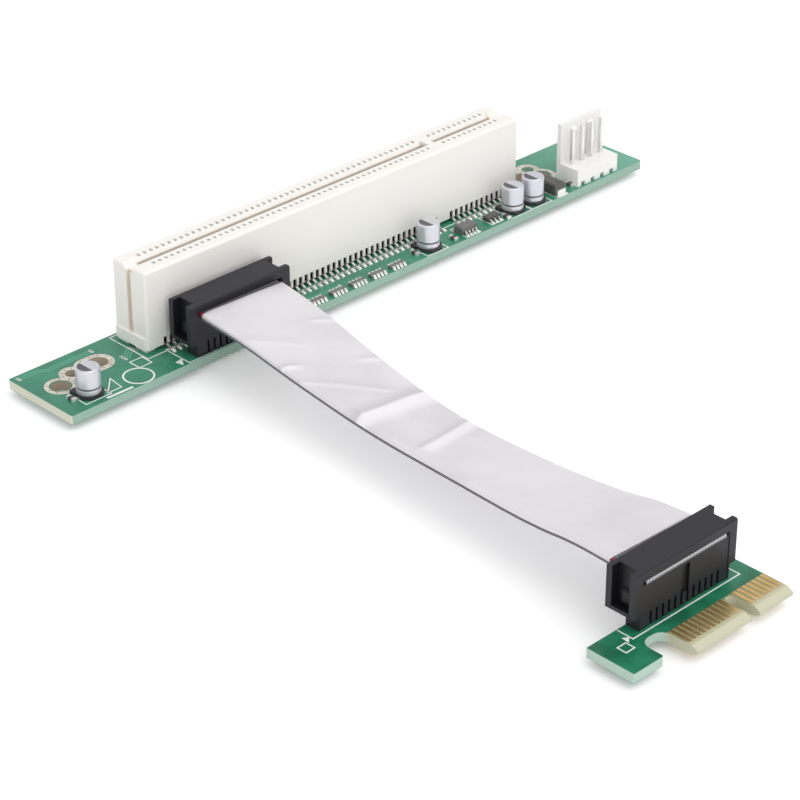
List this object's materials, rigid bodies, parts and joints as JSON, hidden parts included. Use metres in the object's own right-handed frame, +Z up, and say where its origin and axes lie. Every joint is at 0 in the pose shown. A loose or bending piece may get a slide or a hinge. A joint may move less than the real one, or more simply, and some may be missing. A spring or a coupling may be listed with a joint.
{
  "type": "pcie slot expander",
  "caption": "Flexible riser card: a long board with an upright card slot, joined by a foil-wrapped ribbon cable to a small board with a gold edge connector.",
  "frame": {"origin": "under the middle of the two boards, on the level of their solder tails", "axes": "+X along the riser board from the cable's end to the power header, -Y from the riser board to the edge board, +Z up out of the card slot"},
  "size_m": [0.1316, 0.1226, 0.0171],
  "materials": {
    "riser_laminate": "semi-gloss solder mask on glass laminate",
    "edge_laminate": "semi-gloss solder mask on glass laminate",
    "tinned": "bright tin",
    "gold": "thin gold plating",
    "slot_plastic": "satin off-white moulding",
    "black_plastic": "satin black moulding",
    "package_plastic": "matt black moulding",
    "can_aluminium": "smooth bright sleeve",
    "ribbon_grey": "ribbed grey insulation",
    "ribbon_red": "ribbed red insulation",
    "foil": "creased satin foil tape"
  },
  "bodies": {
    "root": {"riser_board": "riser_laminate", "left_hole_land": "tinned", "right_hole_land": "tinned", "pci_slot_housing": "slot_plastic", "pci_contacts_front": "tinned", "pci_contacts_rear": "tinned", "riser_header_body": "black_plastic", "riser_header_cover": "black_plastic", "riser_header_contacts": "tinned", "edge_header_body": "black_plastic", "edge_header_cover": "black_plastic", "edge_header_contacts": "tinned", "edge_board": "edge_laminate", "edge_fingers_top": "gold", "edge_fingers_bottom": "gold", "ribbon_wires": "ribbon_grey", "ribbon_first_wire": "ribbon_red", "ribbon_foil": "foil", "power_header_body": "slot_plastic", "power_header_pins": "tinned", "regulator_body": "package_plastic", "regulator_leads": "tinned", "power_switch_body": "package_plastic", "power_switch_leads": "tinned", "diode_body": "package_plastic", "diode_tabs": "tinned", "resistor_array_bodies": "package_plastic", "resistor_array_terminals": "tinned", "chip_bodies": "package_plastic", "chip_terminals": "tinned", "capacitor_1_base": "black_plastic", "capacitor_1_can": "can_aluminium", "capacitor_1_leads": "tinned", "capacitor_2_base": "black_plastic", "capacitor_2_can": "can_aluminium", "capacitor_2_leads": "tinned", "capacitor_3_base": "black_plastic", "capacitor_3_can": "can_aluminium", "capacitor_3_leads": "tinned", "capacitor_4_base": "black_plastic", "capacitor_4_can": "can_aluminium", "capacitor_4_leads": "tinned"}
  },
  "joints": []
}
